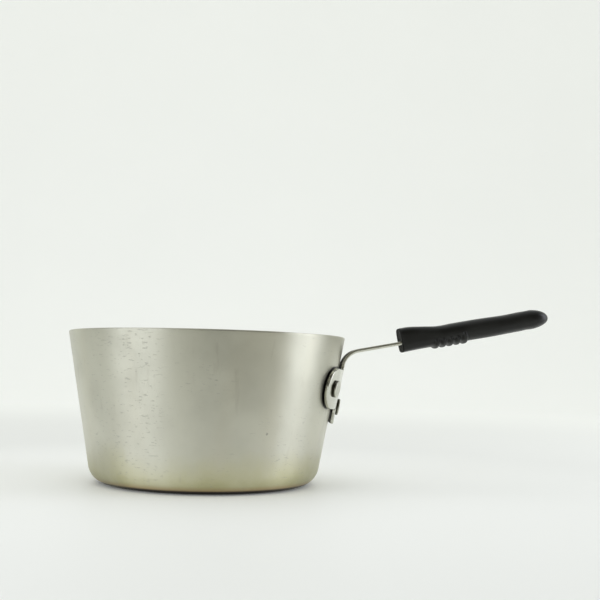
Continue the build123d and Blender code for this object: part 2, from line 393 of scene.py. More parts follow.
def wall_ripple(turn, height, sizes):
    """Radial departure from a true cone: a sum of slow waves round the pan that slant with
    height, fading out towards the base. Each wave is a count, a share, a start and a slant."""
    waves = (
        (2, 0.35, 0.4, 0.0),
        (3, 0.25, 2.1, 9.0),
        (5, 0.2, 4.0, -14.0),
        (9, 0.12, 1.2, 22.0),
        (14, 0.08, 5.1, -35.0),
    )
    total = sum(share * np.cos(count * turn + start + slant * height) for count, share, start, slant in waves)
    return sizes.ripple * total * smooth_step(height / sizes.height * 1.5 - 0.15)


def make_pan(sizes, handle, finishes):
    """Surface of revolution: the section's radius and height, carried round the pan's axis and
    moved in or out by the wall's ripple. Both centres are closed by one vertex."""
    profile, outside_rows = pan_profile(sizes)
    columns = 336
    rings = profile[1:-1]
    turn = np.arange(columns) * (2 * pi / columns)
    radius = rings[:, :1] + wall_ripple(turn, rings[:, 1:], sizes)
    height = np.broadcast_to(rings[:, 1:], radius.shape)
    points, quads, triangles = turned_skin(radius, height, profile[[0, -1], 1])
    inner = np.repeat(np.arange(len(rings) - 1) >= outside_rows - 1, columns)
    faces_of = np.concatenate([inner, np.zeros(columns, bool), np.ones(columns, bool)])
    piece = new_piece("pan_shell", points, quads, triangles, faces_of)
    piece.data.materials.append(spun_outside(finishes, handle))
    piece.data.materials.append(used_inside(finishes))
    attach(piece, "pan")
    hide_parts("pan_body")
    return piece


# --- bracket, strap and tang ---------------------------------------------------------------


class Strap:
    """Where the flat blank of the stamping lies once it is bent: a place on the blank is across
    (from the centreline) and along (from the tab's end), and depth is out from its middle."""

    def __init__(self, pan, handle):
        self.lean = atan((pan.rim_radius - pan.foot_radius) / pan.height)
        self.foot_radius = pan.foot_radius
        self.radius = handle.bend_radius
        self.offset = handle.standoff + handle.steel / 2
        self.tab_height = handle.tab_height
        slide = GRIP_SLIDE["axis"]
        self.rise = atan(slide[2] / slide[0])
        self.up_wall = np.array([sin(self.lean), 0, cos(self.lean)])
        self.out_wall = np.array([cos(self.lean), 0, -sin(self.lean)])
        self.up_handle = np.array([cos(self.rise), 0, sin(self.rise)])
        self.turn = pi / 2 - self.lean - self.rise
        self.start = self.wall_point(np.zeros(1), np.zeros(1), np.zeros(1))[0]
        to_face = np.array(GRIP_FACE) - self.start
        cross = np.cross(self.up_wall, self.up_handle)[1]
        reach = np.cross(to_face, self.up_handle)[1] / cross
        self.upright = reach - self.radius * tan(self.turn / 2)
        self.bend_start = self.start + self.up_wall * self.upright
        self.bend_length = self.radius * self.turn
        corner = self.start + self.up_wall * reach
        self.bend_end = corner + self.up_handle * self.radius * tan(self.turn / 2)
        straight = float((np.array(GRIP_FACE) - self.bend_end) @ self.up_handle)
        self.face_along = self.upright + self.bend_length + straight

    def wall_radius(self, height):
        """Radius of the wall's outside at a height."""
        return self.foot_radius + height * tan(self.lean)

    def wall_angle(self, across, along):
        """Turn round the pan of a place on the part that follows the wall."""
        height = self.tab_height + along * cos(self.lean)
        return across / (self.wall_radius(height) + self.offset * cos(self.lean))

    def wall_point(self, across, along, depth):
        """A place on the part that follows the wall: the wall's point at that turn and height,
        moved out along the wall's normal. The height grows with the turn, so that a line across
        the blank stays in one plane square to the strap."""
        level = self.tab_height + along * cos(self.lean)
        turn = self.wall_angle(across, along)
        height = level + self.wall_radius(level) * (1 - np.cos(turn)) * tan(self.lean)
        radius = self.wall_radius(height) + (self.offset + depth) * cos(self.lean)
        height = height - (self.offset + depth) * sin(self.lean)
        return np.stack([radius * np.cos(turn), radius * np.sin(turn), height], axis=-1)

    def point(self, across, along, depth):
        """A place anywhere on the stamping. Past the upright part the middle line is an arc and
        then straight, and the strap's section goes from the wall's curve to flat over the bend."""
        across, along, depth = np.broadcast_arrays(across, along, depth)
        on_wall = self.wall_point(across, np.minimum(along, self.upright), depth)
        section = on_wall - self.bend_start
        section_out = section @ self.out_wall
        section_up = section @ self.up_wall
        past = np.clip(along - self.upright, 0.0, self.bend_length)
        angle = past / self.radius
        flat = smooth_step(past / self.bend_length)
        tangent = self.up_wall * np.cos(angle)[..., None] + self.out_wall * np.sin(angle)[..., None]
        normal = self.out_wall * np.cos(angle)[..., None] - self.up_wall * np.sin(angle)[..., None]
        centre = self.bend_start + self.out_wall * self.radius
        middle = centre - normal * self.radius
        beyond = np.maximum(along - self.upright - self.bend_length, 0.0)
        out = section_out * (1 - flat) + depth * flat
        side = section[..., 1] * (1 - flat) + across * flat
        lift = section_up * (1 - flat)
        bent = middle + normal * out[..., None] + tangent * (lift + beyond)[..., None]
        bent[..., 1] += side
        return np.where((along <= self.upright)[..., None], on_wall, bent)


# Distances on the flat blank: between points of the outline, between points of the faces' filling,
# and from the filling to the outline.
OUTLINE_STEP = 0.0012
FILLING_STEP = 0.0017
FILLING_MARGIN = 0.0006


def blank_outline(strap, handle):
    """Outline of the flat blank, counter-clockwise: tab, wings with round ends, strap and tang."""
    half = handle.strap_width / 2
    wall_radius = strap.wall_radius(handle.wing_height)
    level = handle.wing_height - wall_radius * (1 - cos(handle.wing_angle)) * tan(strap.lean)
    middle = (level - handle.tab_height) / cos(strap.lean)
    reach = handle.wing_angle * (wall_radius + strap.offset * cos(strap.lean))
    tip = reach + handle.wing_radius
    low, high = middle - handle.wing_radius, middle + handle.wing_radius
    end = strap.face_along + handle.tang_length
    wing_corner = handle.wing_radius * 0.999  # leaves a trace of straight line between two arcs
    right = [
        ((half, 0.0), handle.tab_corner),
        ((half, low), handle.inside_corner),
        ((tip, low), wing_corner),
        ((tip, high), wing_corner),
        ((half, high), handle.inside_corner),
        ((half, end), handle.tang_corner),
    ]
    left = [((-x, y), radius) for (x, y), radius in reversed(right)]
    corners, radii = zip(*(right + left))
    return round_corners(corners, radii, OUTLINE_STEP)


def make_bracket(pan, handle, grip, finishes):
    """The blank's outline and its hanging hole are carried through a rounded edge from the back
    face to the front face, both faces are filled, and every point is then bent into place."""
    strap = Strap(pan, handle)
    outline = blank_outline(strap, handle)
    hole_at = np.array([0.0, strap.face_along + grip.hole_along])
    hole = hole_at + arc((0, 0), grip.hole_radius, 2 * pi, 0, 49)[:-1]
    edge, half = handle.edge_round, handle.steel / 2
    turns = np.linspace(0, pi / 2, 6)
    inset = edge * (1 - np.cos(turns))
    depth = half - edge + edge * np.sin(turns)
    insets = np.concatenate([inset[::-1], inset])
    depths = np.concatenate([-depth[::-1], depth])
    rings = len(insets)
    flat, levels, quads, first = [], [], [], 0
    for loop in (outline, hole):
        normals = loop_normals(loop)
        flat.append((loop[None] - normals[None] * insets[:, None, None]).reshape(-1, 2))
        levels.append(np.repeat(depths, len(loop)))
        quads.append(grid_quads(rings, len(loop), first, closed=True))
        first += rings * len(loop)
    outer_last = (rings - 1) * len(outline)
    hole_first = rings * len(outline)
    hole_last = hole_first + (rings - 1) * len(hole)
    front_loops = [flat[0][outer_last:], flat[1][-len(hole):]]
    filling = inner_grid(front_loops, FILLING_STEP, FILLING_MARGIN)
    triangles = fill_loops(front_loops, filling)
    on_outline, on_hole, within = (np.arange(len(part)) for part in (outline, hole, filling))
    front = np.concatenate([outer_last + on_outline, hole_last + on_hole, first + within])
    back = np.concatenate([on_outline, hole_first + on_hole, first + len(filling) + within])
    flat = np.concatenate([*flat, filling, filling])
    levels = np.concatenate([*levels, np.full(len(filling), half), np.full(len(filling), -half)])
    points = strap.point(flat[:, 0], flat[:, 1], levels)
    faces = np.concatenate([front[triangles], back[triangles][:, ::-1]])
    piece = new_piece("bracket_stamping", points, np.concatenate(quads), faces)
    piece.data.materials.append(plated_steel(finishes, pan, handle))
    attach(piece, "pan")
    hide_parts("handle_bracket")
    return piece


# --- rivets --------------------------------------------------------------------------------


def wall_frame(pan, turn, height):
    """Axes in the columns of a matrix, of which the third is the wall's normal, and the place on
    the wall's outside that they start from."""
    lean = atan((pan.rim_radius - pan.foot_radius) / pan.height)
    radius = pan.foot_radius + height * tan(lean)
    normal = Vector((cos(lean) * cos(turn), cos(lean) * sin(turn), -sin(lean)))
    side = Vector((-sin(turn), cos(turn), 0))
    up = normal.cross(side)
    foot = Vector((radius * cos(turn), radius * sin(turn), height))
    return np.array(Matrix((side, up, normal)).transposed()), np.array(foot)


def rivet_profile(pan, handle):
    """Radius and height along a rivet's section, from the inner head's top to the outer head's:
    a low dome, its side, the shank, and a flat head with a rounded edge and a faint dome. Both
    heads go a little into what they press on, so that no gap shows."""
    head, shank = handle.head_radius, handle.shank_radius
    inner_top = -pan.wall - handle.inner_head_height
    seat = handle.standoff + handle.steel - 0.0004
    top = handle.standoff + handle.steel - 0.00025 + handle.head_height
    inner_edge, inner_dome = 0.0011, 0.0005
    outer_edge, outer_dome = 0.0006, 0.00035
    inner_run = np.linspace(0, 1, 8)
    inner_level = inner_top + inner_dome * inner_run**2
    inner_face = np.stack([inner_run * (head - inner_edge), inner_level], axis=1)
    inner_centre = (head - inner_edge, inner_top + inner_dome + inner_edge)
    inner_round = arc(inner_centre, inner_edge, -pi / 2, 0, 7)
    middle = [
        (head, -pan.wall + 0.0006),
        (shank, -pan.wall + 0.0007),
        (shank, seat - 0.0001),
        (head, seat),
    ]
    outer_round = arc((head - outer_edge, top - outer_dome - outer_edge), outer_edge, 0, pi / 2, 7)
    outer_run = np.linspace(1, 0, 9)
    outer_face = np.stack([outer_run * (head - outer_edge), top - outer_dome * outer_run**2], axis=1)
    return np.concatenate([inner_face, inner_round[1:], middle, outer_round, outer_face[1:]])


def make_rivet(side, turn, height, pan, handle, finishes):
    """Surface of revolution: the rivet's section carried round the wall's normal."""
    profile = rivet_profile(pan, handle)
    columns = 72
    radius, level = (np.repeat(row[:, None], columns, axis=1) for row in profile[1:-1].T)
    local, quads, triangles = turned_skin(radius, level, profile[[0, -1], 1])
    axes, foot = wall_frame(pan, turn, height)
    piece = new_piece("rivet_solid_" + side, local @ axes.T + foot, quads, triangles)
    piece.data.materials.append(rivet_aluminium(finishes, pan))
    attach(piece, "pan")
    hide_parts("rivet_" + side)
    return piece


# --- grip ----------------------------------------------------------------------------------

# Stations along the grip in millimetres, from the front face: half width, top and bottom. Top
# and bottom are measured square to the strap, from its middle.
GRIP_HALF_WIDTH = [(0, 13.0), (10, 13.0), (30, 12.7), (50, 12.8), (84, 13.1), (125, 12.9)]
GRIP_TOP = [(0, 12.3), (6, 12.4), (20, 10.7), (31, 9.15), (45, 9.3), (66, 9.2)]
GRIP_TOP += [(92, 8.7), (104, 9.2), (125, 9.0)]
GRIP_BOTTOM = [(0, -7.6), (14, -7.2), (30, -7.1), (60, -7.1), (74, -7.2), (95, -6.85), (125, -6.9)]
GRIP_SQUARENESS = [(0, 4.4), (14, 3.6), (32, 2.8), (80, 2.7), (110, 2.5), (125, 2.2)]
NOSE_START = 107.0
NOSE_LEVEL = 0.3
# In metres: half the side of the square opening left in the outer grid round the hanging hole, and
# the place along the grip whose section sets how the columns are spaced.
HOLE_WINDOW = 0.0088
COLUMNS_FROM = 0.06


class GripShape:
    """The grip's outer surface, in metres, in its own axes: along the handle, across, and up."""

    def __init__(self, grip):
        self.grip = grip

    def sizes(self, along):
        """Half width, top, bottom and squareness of the section at each place along. Past the
        nose's start all three shrink as an ellipse does, towards the nose's own level."""
        place = along / MM
        nose = np.clip((place - NOSE_START) / (self.grip.length / MM - NOSE_START), 0.0, 1.0)
        shrink = np.sqrt(1 - nose**2.1)
        half = smooth_curve(GRIP_HALF_WIDTH, place) * np.sqrt(1 - nose**2.6)
        top = NOSE_LEVEL + (smooth_curve(GRIP_TOP, place) - NOSE_LEVEL) * shrink
        bottom = NOSE_LEVEL + (smooth_curve(GRIP_BOTTOM, place) - NOSE_LEVEL) * shrink
        return half * MM, top * MM, bottom * MM, smooth_curve(GRIP_SQUARENESS, place)

    def ribs(self, along, level):
        """Height of the ribs: half round along the grip, full underneath, with round ends up the
        sides. The last rib reaches higher than the others."""
        grip = self.grip
        total = np.zeros(np.broadcast(along, level).shape)
        for number in range(grip.rib_count):
            off = (along - grip.rib_first - number * grip.rib_pitch) / grip.rib_half
            reach = grip.rib_reach * (1.7 if number == grip.rib_count - 1 else 1.0)
            past = np.clip(level + 0.0052, 0.0, None) / reach
            total = np.maximum(total, np.sqrt(np.clip(1 - off**2 - past**2, 0, 1)))
        return grip.rib_height * total

    def section(self, along, angle):
        """Point of the section at an angle: across and up are powers of cosine and sine, so that
        the section lies between an ellipse and a box. The ribs push it out from its middle."""
        half, top, bottom, power = self.sizes(along)
        middle, rise = (top + bottom) / 2, (top - bottom) / 2
        across = half * np.sign(np.cos(angle)) * np.abs(np.cos(angle)) ** (2 / power)
        up = middle + rise * np.sign(np.sin(angle)) * np.abs(np.sin(angle)) ** (2 / power)
        out = self.ribs(along, up)
        distance = np.maximum(np.hypot(across * 0.6, up - middle), 1e-9)
        return across + out * across * 0.6 / distance, up + out * (up - middle) / distance

    def face_height(self, along, across, side):
        """Height of the upper (side 1) or lower (side -1) surface over a place."""
        half, top, bottom, power = self.sizes(along)
        middle, rise = (top + bottom) / 2, (top - bottom) / 2
        return middle + side * rise * np.clip(1 - np.abs(across / half) ** power, 0, 1) ** (1 / power)


def even_angles(shape, along, count):
    """Angles that space the points of the section at a place evenly, starting at its right."""
    fine = np.linspace(0, 2 * pi, 4001)
    across, up = shape.section(np.full(fine.shape, along), fine)
    run = np.concatenate([[0], np.cumsum(np.hypot(np.diff(across), np.diff(up)))])
    return np.interp(np.arange(count) / count * run[-1], run, fine)


def grip_places(grip):
    """Places of the rings along the grip: close together at the ribs and towards the nose."""
    rib_low = grip.rib_first - 1.6 * grip.rib_half
    rib_high = grip.rib_first + (grip.rib_count - 1) * grip.rib_pitch + 1.6 * grip.rib_half
    nose = NOSE_START * MM + 0.009
    front = np.arange(grip.face_round, rib_low, 0.0012)
    ribbed = np.arange(rib_low, rib_high, 0.00026)
    plain = np.arange(rib_high, nose, 0.0012)
    bow = np.linspace(0, pi / 2, 26)[:-1]
    end = nose + (grip.length - nose) * np.sin(bow)
    return np.concatenate([front, ribbed, plain, end])


class Skin:
    """A closed skin that is put together from rings and other sets of points."""

    def __init__(self):
        self.blocks, self.quads, self.triangles, self.count = [], [], [], 0

    def add(self, points):
        """Adds points and gives their numbers."""
        self.blocks.append(np.asarray(points, float).reshape(-1, 3))
        numbers = np.arange(self.count, self.count + len(self.blocks[-1]))
        self.count += len(numbers)
        return numbers

    def ring(self, previous, points, inwards=False):
        """Adds a ring of points, joined to the previous ring, and gives its numbers."""
        numbers = self.add(points)
        self.quads.append(bridge(numbers, previous) if inwards else bridge(previous, numbers))
        return numbers

    def points(self):
        """All points so far, in the order of their numbers."""
        return np.concatenate(self.blocks)


def add_hole(skin, shape, surface, cells, side, slot_half):
    """One side of the hanging hole, 1 above and -1 below. A window in the outer surface's cells is
    left open, its border is drawn in over the surface to the hole's lip, round the lip by a
    quarter circle, and down to the slot. Gives the last ring's numbers and its flat places."""
    grip = shape.grip
    radius, along, edge = grip.hole_radius, grip.hole_along, grip.hole_round
    rows = np.flatnonzero(np.abs(surface[:, 0, 0] - along) < HOLE_WINDOW)
    first_row, last_row = rows[0], rows[-1]
    near = np.abs(surface[first_row, :, 1]) < HOLE_WINDOW
    picked = np.flatnonzero(near & (np.sign(surface[first_row, :, 2]) == side))
    first_column, last_column = picked[0], picked[-1]
    cells[first_row:last_row, first_column:last_column] = False
    border = [(first_row, column) for column in range(first_column, last_column)]
    border += [(row, last_column) for row in range(first_row, last_row)]
    border += [(last_row, column) for column in range(last_column, first_column, -1)]
    border += [(row, first_column) for row in range(last_row, first_row, -1)]
    row, column = np.array(border).T
    previous = row * surface.shape[1] + column
    flat = surface[row, column, :2] - (along, 0)
    bearing = np.arctan2(flat[:, 1], flat[:, 0])
    unit = np.stack([np.cos(bearing), np.sin(bearing)], axis=1)
    lip = unit * (radius + edge)
    for share in (0.75, 0.5, 0.28, 0.12):
        place = lip + (flat - lip) * share
        x, y = place[:, 0] + along, place[:, 1]
        previous = skin.ring(previous, np.column_stack([x, y, shape.face_height(x, y, side)]))
    lip_height = shape.face_height(lip[:, 0] + along, lip[:, 1], side)
    for turn in np.linspace(0, pi / 2, 7):
        place = unit * (radius + edge * (1 - sin(turn)))
        height = lip_height - side * edge * (1 - cos(turn))
        previous = skin.ring(previous, np.column_stack([place[:, 0] + along, place[:, 1], height]))
    place = unit * radius + (along, 0)
    level = np.full(len(place), side * slot_half)
    return skin.ring(previous, np.column_stack([place, level])), place


def slot_outline(grip, handle):
    """Flat outline of the slot, open at the front face: a straight side, two arcs at the far end
    and the other side."""
    end = handle.tang_length + grip.slot_gap
    wide = handle.strap_width / 2 + grip.slot_gap
    corner = handle.tang_corner + grip.slot_gap
    far_arcs = [
        arc((end - corner, corner - wide), corner, -pi / 2, 0, 13),
        arc((end - corner, wide - corner), corner, 0, pi / 2, 13),
    ]
    return np.concatenate([[(0.0, -wide)], *far_arcs, [(0.0, wide)]])


def make_grip(grip, handle, finishes):
    """The sleeve as one closed skin: front face with its slot, outer surface, nose, the slot's
    walls, and the hanging hole through all of them."""
    shape = GripShape(grip)
    columns = 144
    places = grip_places(grip)
    angles = even_angles(shape, COLUMNS_FROM, columns)
    across, up = shape.section(places[:, None], angles[None, :])
    surface = np.stack([np.broadcast_to(places[:, None], across.shape), across, up], axis=-1)
    skin = Skin()
    skin.add(surface)
    cells = np.ones((len(places) - 1, columns), bool)
    slot_half = handle.steel / 2 + grip.slot_gap
    circles = {side: add_hole(skin, shape, surface, cells, side, slot_half) for side in (1, -1)}
    all_quads = grid_quads(len(places), columns, closed=True).reshape(len(places) - 1, columns, 4)
    skin.quads.insert(0, all_quads[cells])

    nose = skin.add([(grip.length, 0, NOSE_LEVEL * MM)])
    last_ring = np.arange((len(places) - 1) * columns, len(places) * columns)
    skin.triangles.append(fan(last_ring, nose[0]))

    first_ring = surface[0, :, 1:]
    outward = first_ring - np.array([0.0, first_ring[:, 1].mean()])
    outward /= np.hypot(*outward.T)[:, None]
    front = np.arange(columns)
    for turn in np.linspace(0, pi / 2, 6)[1:]:
        flat = first_ring - outward * (grip.face_round * (1 - cos(turn)))
        place = np.full(columns, grip.face_round * (1 - sin(turn)))
        front = skin.ring(front, np.column_stack([place, flat]), inwards=True)

    curve = slot_outline(grip, handle)
    roof = skin.add(np.column_stack([curve, np.full(len(curve), slot_half)]))
    ground = skin.add(np.column_stack([curve, np.full(len(curve), -slot_half)]))
    walls = np.stack([roof[:-1], ground[:-1], ground[1:], roof[1:]], axis=1)
    skin.quads.append(walls[:, ::-1])
    no_points = np.empty((0, 2))
    for numbers, side in ((roof, 1), (ground, -1)):
        ring, circle = circles[side]
        filled = fill_loops([curve, circle], no_points)
        facing = filled if side == -1 else filled[:, ::-1]
        skin.triangles.append(np.concatenate([numbers, ring])[facing])
    mouth = np.array([roof[0], roof[-1], ground[-1], ground[0]])
    local = skin.points()
    filled = fill_loops([local[front, 1:], local[mouth, 1:]], no_points)
    skin.triangles.append(np.concatenate([front, mouth])[filled][:, ::-1])

    slide = GRIP_SLIDE["axis"]
    axes = np.array([slide, (0, 1, 0), (-slide[2], 0, slide[0])])
    world = local @ axes + np.array(GRIP_FACE)
    piece = new_piece("grip_skin", world, np.concatenate(skin.quads), np.concatenate(skin.triangles))
    piece.data.materials.append(moulded_silicone(finishes))
    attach(piece, "grip")
    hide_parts("grip_sleeve")
    return piece


# --- shader helpers ------------------------------------------------------------------------


def feed(tree, target, inputs):
    """Gives a node's inputs, by name or number, their values or the sockets that feed them."""
    for name, value in inputs.items():
        if isinstance(value, bpy.types.NodeSocket):
            tree.links.new(value, target.inputs[name])
        else:
            target.inputs[name].default_value = value


def node(tree, kind, inputs=None, **settings):
    """New node of a kind. The nodes of a tree stand in columns, in the order they are made."""
    made = tree.nodes.new(kind)
    column, row = divmod(len(tree.nodes), NODES_IN_COLUMN)
    made.location = (column * NODE_SPACING, -row * NODE_SPACING)
    for name, value in settings.items():
        setattr(made, name, value)
    feed(tree, made, inputs or {})
    return made


def calc(tree, operation, first, second=0.0):
    """A Math node's result."""
    return node(tree, "ShaderNodeMath", {0: first, 1: second}, operation=operation).outputs[0]


def vector(tree, operation, first, second=None, scale=None):
    """A Vector Math node's result: a number for a length or a dot product, or else a vector."""
    given = {0: first, 1: second, "Scale": scale}
    inputs = {name: value for name, value in given.items() if value is not None}
    made = node(tree, "ShaderNodeVectorMath", inputs, operation=operation)
    return made.outputs["Value" if operation in ("LENGTH", "DOT_PRODUCT") else "Vector"]


def split(tree, whole):
    """The three numbers of a vector."""
    return tuple(node(tree, "ShaderNodeSeparateXYZ", {0: whole}).outputs)


def join(tree, x=0.0, y=0.0, z=0.0):
    """A vector of three numbers."""
    return node(tree, "ShaderNodeCombineXYZ", {0: x, 1: y, 2: z}).outputs[0]


def spread(tree, value, low, high, to_low=0.0, to_high=1.0):
    """A Map Range node's result, smooth and held within its ends."""
    inputs = {"Value": value, "From Min": low, "From Max": high, "To Min": to_low, "To Max": to_high}
    return node(tree, "ShaderNodeMapRange", inputs, interpolation_type="SMOOTHSTEP", clamp=True).outputs[0]


def noise(tree, where, scale, detail, roughness=0.5, output="Fac"):
    """A Noise Texture node's value, or its colour."""
    inputs = {"Vector": where, "Scale": scale, "Detail": detail, "Roughness": roughness}
    return node(tree, "ShaderNodeTexNoise", inputs).outputs[output]


def object_place(tree):
    """The object's own coordinates, which are the pot's at rest."""
    return node(tree, "ShaderNodeTexCoord").outputs["Object"]


def toned(colour, *factors):
    """A colour darkened by one factor, or by one for each channel."""
    return tuple(np.array(colour) * (factors if len(factors) == 3 else factors[0]))


def mix_colour(tree, share, first, second):
    """Mix of two colours, each a colour or a socket."""
    made = node(tree, "ShaderNodeMix", data_type="RGBA", blend_type="MIX")
    opaque = [c if isinstance(c, bpy.types.NodeSocket) else (*c[:3], 1.0) for c in (first, second)]
    feed(tree, made, {0: share, 6: opaque[0], 7: opaque[1]})
    return made.outputs[2]


def layered(tree, colour, *layers):
    """A colour with others laid over it in turn. Each layer is a mask, its strength and a colour."""
    for mask, strength, tone in layers:
        share = mask if strength == 1.0 else calc(tree, "MULTIPLY", mask, strength)
        colour = mix_colour(tree, share, colour, tone)
    return colour


def bumped(tree, *layers):
    """Normal of Bump nodes one after the other. Each layer is a height, a strength and a distance."""
    linked = {}
    for height, strength, distance in layers:
        inputs = {"Height": height, "Strength": strength, "Distance": distance}
        linked = {"Normal": node(tree, "ShaderNodeBump", inputs | linked).outputs[0]}
    return linked["Normal"]


def new_material(name):
    """Material with an output and a Principled BSDF, and its tree."""
    material = bpy.data.materials.new(name)
    material.use_nodes = True
    tree = material.node_tree
    tree.nodes.clear()
    shader = node(tree, "ShaderNodeBsdfPrincipled")
    node(tree, "ShaderNodeOutputMaterial", {"Surface": shader.outputs[0]})
    return material, tree, shader


# --- effects that materials share ----------------------------------------------------------


def open_group(name, inputs):
    """New shader node group and its inputs, each with a default, which is a number or a vector."""
    tree = bpy.data.node_groups.new(name, "ShaderNodeTree")
    for label, default in inputs.items():
        kind = "NodeSocketVector" if isinstance(default, tuple) else "NodeSocketFloat"
        tree.interface.new_socket(name=label, in_out="INPUT", socket_type=kind).default_value = default
    return tree, node(tree, "NodeGroupInput").outputs


def close_group(tree, outputs):
    """Gives a node group its outputs, each a name and the socket that feeds it."""
    for label in outputs:
        tree.interface.new_socket(name=label, in_out="OUTPUT", socket_type="NodeSocketFloat")
    node(tree, "NodeGroupOutput", outputs)
    return tree


def use(tree, effect, inputs):
    """Outputs of a shared effect, placed with these input values. The effect is the function that
    builds its node group, and it is called the first time only."""
    name = effect.__name__
    effect_tree = bpy.data.node_groups.get(name) or effect(name)
    return node(tree, "ShaderNodeGroup", inputs, node_tree=effect_tree).outputs


def lathe_lines(name):
    """Lines that run round the pan's axis: noise over (direction from the axis x Around,
    (radius + height) x Along), cut off softly at a level, so that only its crests show."""
    tree, given = open_group(name, {"Around": 12.0, "Along": 1500.0, "Level": 0.6, "Softness": 0.05})
    x, y, z = split(tree, object_place(tree))
    flat = join(tree, x, y)
    around = vector(tree, "SCALE", vector(tree, "NORMALIZE", flat), scale=given["Around"])
    run = calc(tree, "ADD", vector(tree, "LENGTH", flat), z)
    lift = join(tree, z=calc(tree, "MULTIPLY", run, given["Along"]))
    value = noise(tree, vector(tree, "ADD", around, lift), 1.0, 3.0)
    top = calc(tree, "ADD", given["Level"], given["Softness"])
    return close_group(tree, {"Mask": spread(tree, value, given["Level"], top), "Value": value})


def lines(tree, around, along, level, softness):
    """Outputs of the lathe_lines effect with these values."""
    return use(tree, lathe_lines, {"Around": around, "Along": along, "Level": level, "Softness": softness})


def stains(name):
    """Soft patches: noise over the object's own coordinates, spread between two levels."""
    inputs = {"Scale": 30.0, "Detail": 4.0, "Low": 0.4, "High": 0.65, "Stretch": (1.0, 1.0, 1.0)}
    tree, given = open_group(name, inputs)
    where = vector(tree, "MULTIPLY", object_place(tree), given["Stretch"])
    value = noise(tree, where, given["Scale"], given["Detail"], roughness=0.6)
    return close_group(tree, {"Mask": spread(tree, value, given["Low"], given["High"])})


def patches(tree, scale, low, high, detail=4.0, stretch=(1.0, 1.0, 1.0)):
    """Mask of the stains effect. A stretch below 1 draws the patches out along that axis."""
    inputs = {"Scale": scale, "Detail": detail, "Low": low, "High": high, "Stretch": stretch}
    return use(tree, stains, inputs)["Mask"]


def pits(name):
    """Sparse small spots: places near a cell's point, in the share of cells that the cell's own
    random colour picks. A fine noise makes them uneven."""
    tree, given = open_group(name, {"Scale": 60.0, "Size": 0.08, "Share": 0.3})
    place = object_place(tree)
    wobble = noise(tree, place, 900.0, 1.0, output="Color")
    where = vector(tree, "ADD", place, vector(tree, "SCALE", wobble, scale=0.0009))
    cells = node(tree, "ShaderNodeTexVoronoi", {"Vector": where, "Scale": given["Scale"]}).outputs
    random = node(tree, "ShaderNodeSeparateColor", {0: cells["Color"]}).outputs
    chosen = calc(tree, "LESS_THAN", random[0], given["Share"])
    limit = calc(tree, "MULTIPLY", random[1], given["Size"])
    near = spread(tree, cells["Distance"], 0.0, limit, 1.0, 0.0)
    return close_group(tree, {"Mask": calc(tree, "MULTIPLY", near, chosen)})


def wall_gap(name):
    """Distance out from the pan's wall, which is the distance to the axis less the wall's radius
    at that height, and how far a surface faces the wall."""
    tree, given = open_group(name, {"Foot": 0.0894, "Growth": 0.1823})
    coordinates = node(tree, "ShaderNodeTexCoord").outputs
    x, y, z = split(tree, coordinates["Object"])
    flat = join(tree, x, y)
    wall = calc(tree, "ADD", calc(tree, "MULTIPLY", z, given["Growth"]), given["Foot"])
    gap = calc(tree, "SUBTRACT", vector(tree, "LENGTH", flat), wall)
    outward = vector(tree, "DOT_PRODUCT", vector(tree, "NORMALIZE", flat), coordinates["Normal"])
    return close_group(tree, {"Gap": gap, "Facing": calc(tree, "MULTIPLY", outward, -1.0)})


def from_wall(tree, pan):
    """Gap and facing of the wall_gap effect, set to this pan's wall."""
    growth = (pan.rim_radius - pan.foot_radius) / pan.height
    wall = use(tree, wall_gap, {"Foot": pan.foot_radius, "Growth": growth})
    return wall["Gap"], wall["Facing"]


# --- finishes ------------------------------------------------------------------------------


def painted_crevice_shade(tree, place, handle):
    """Painted shade on the wall behind the bracket, near black, for the dark gap round its wings:
    where the distance over the wall to the line between the two wings' centres is less than a
    wing's radius, fading out just past it."""
    wall_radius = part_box("rivet_lower")[1].x - handle.head_height  # to a few millimetres
    x, y, z = split(tree, place)
    turn = calc(tree, "ABSOLUTE", calc(tree, "ARCTAN2", y, x))
    past = calc(tree, "MAXIMUM", calc(tree, "SUBTRACT", turn, handle.wing_angle), 0.0)
    across = calc(tree, "MULTIPLY", past, wall_radius)
    up = calc(tree, "SUBTRACT", z, handle.wing_height)
    reach = vector(tree, "LENGTH", join(tree, across, up))
    return spread(tree, reach, handle.wing_radius - 0.0002, handle.wing_radius + 0.0012, 0.95, 0.0)


